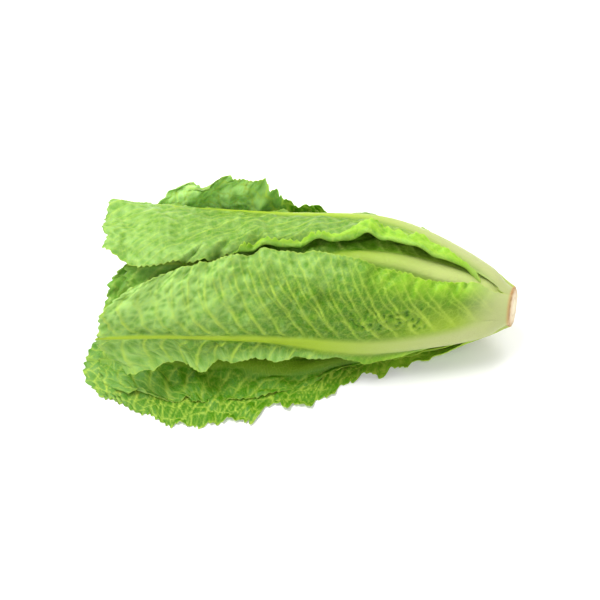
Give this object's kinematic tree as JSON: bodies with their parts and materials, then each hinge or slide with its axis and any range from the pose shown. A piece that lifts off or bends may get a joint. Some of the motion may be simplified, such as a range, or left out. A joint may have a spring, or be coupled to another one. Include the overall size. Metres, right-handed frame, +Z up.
{
  "type": "romaine lettuce head",
  "caption": "Whole head of romaine lettuce lying on its side, with long waved leaves, pale midribs and a cut stem.",
  "frame": {"origin": "on the surface that the head lies on, at the flat spot of the lowest leaf under the middle of the head", "axes": "+X along the head towards the cut stem, leaf tips at -X; -Y is the side that faces the viewer in the picture; +Z up"},
  "size_m": [0.2953, 0.1712, 0.1033],
  "materials": {
    "stem": "matte",
    "outer_leaf": "satin",
    "inner_leaf": "satin",
    "heart_leaf": "satin"
  },
  "bodies": {
    "root": {"stem": "stem", "leaf_under": "outer_leaf", "leaf_back_low": "outer_leaf", "leaf_back": "outer_leaf", "leaf_near_low": "outer_leaf", "leaf_front": "outer_leaf", "leaf_top": "outer_leaf", "leaf_middle": "inner_leaf", "leaf_inner_1": "inner_leaf", "leaf_inner_2": "inner_leaf", "leaf_inner_3": "inner_leaf", "leaf_inner_4": "inner_leaf", "leaf_inner_5": "heart_leaf", "leaf_inner_6": "heart_leaf", "leaf_inner_7": "heart_leaf", "leaf_inner_8": "heart_leaf"}
  },
  "joints": []
}
